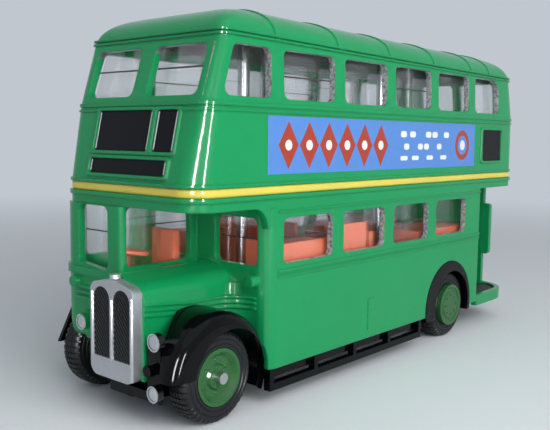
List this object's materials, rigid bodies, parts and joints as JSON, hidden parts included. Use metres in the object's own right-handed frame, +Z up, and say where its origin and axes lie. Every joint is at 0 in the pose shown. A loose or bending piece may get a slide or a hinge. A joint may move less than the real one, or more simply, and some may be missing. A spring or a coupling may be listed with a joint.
{
  "type": "die-cast model of a double decker bus",
  "caption": "Die-cast collector's model of a half-cab double decker bus with an open rear platform, glazed decks and wheel sets that roll freely.",
  "frame": {"origin": "on the ground, under the middle of the model's box", "axes": "+X forward, +Y to the kerb side (left), +Z up"},
  "size_m": [0.1042, 0.0308, 0.0587],
  "materials": {
    "green_enamel": "glossy enamel on a zinc casting",
    "yellow_enamel": "glossy enamel",
    "clear_styrene": "clear moulded styrene",
    "seat_styrene": "moulded styrene, satin",
    "black_styrene": "moulded styrene, glossy",
    "platform_styrene": "moulded styrene, matt",
    "silver_paint": "silver paint, satin",
    "blind_film": "printed plate, satin",
    "mesh_black": "moulded mesh, matt",
    "lamp_silver": "silver paint, glossy",
    "hub_styrene": "moulded styrene, satin",
    "tyre_rubber": "moulded soft vinyl",
    "axle_steel": "drawn wire",
    "cast_zinc": "bare casting"
  },
  "bodies": {
    "body": {"upper_shell": "green_enamel", "lower_shell": "green_enamel", "waist_band": "yellow_enamel", "front_blinds": "blind_film", "side_blind": "blind_film", "upper_glazing": "clear_styrene", "lower_glazing": "clear_styrene", "cab_glazing": "clear_styrene", "upper_deck_seats": "seat_styrene", "lower_deck_seats": "seat_styrene", "driver_seat": "seat_styrene", "steering_wheel": "seat_styrene", "staircase": "green_enamel", "platform_floor": "platform_styrene", "chassis_base": "black_styrene", "assembly_posts": "cast_zinc", "base_screws": "axle_steel", "front_wing_left": "black_styrene", "front_wing_right": "black_styrene", "rear_arch_left": "black_styrene", "rear_arch_right": "black_styrene", "radiator_shell": "silver_paint", "radiator_grille": "mesh_black", "filler_cap": "lamp_silver", "horn": "black_styrene", "headlamp_left": "lamp_silver", "headlamp_right": "lamp_silver", "fog_lamp": "lamp_silver"},
    "front_wheels": {"front_axle": "axle_steel", "front_hub_left": "hub_styrene", "front_hub_right": "hub_styrene", "front_tyre_left": "tyre_rubber", "front_tyre_right": "tyre_rubber"},
    "rear_wheels": {"rear_axle": "axle_steel", "rear_hub_left": "hub_styrene", "rear_hub_right": "hub_styrene", "rear_tyre_left_outer": "tyre_rubber", "rear_tyre_left_inner": "tyre_rubber", "rear_tyre_right_outer": "tyre_rubber", "rear_tyre_right_inner": "tyre_rubber"}
  },
  "joints": [
    {"name": "front_wheels_roll", "type": "hinge", "parent": "body", "child": "front_wheels", "pos_m": [0.0423, 0, 0.0066], "axis": [0, 1, 0], "continuous": true},
    {"name": "rear_wheels_roll", "type": "hinge", "parent": "body", "child": "rear_wheels", "pos_m": [-0.02275, 0, 0.0066], "axis": [0, 1, 0], "continuous": true}
  ]
}
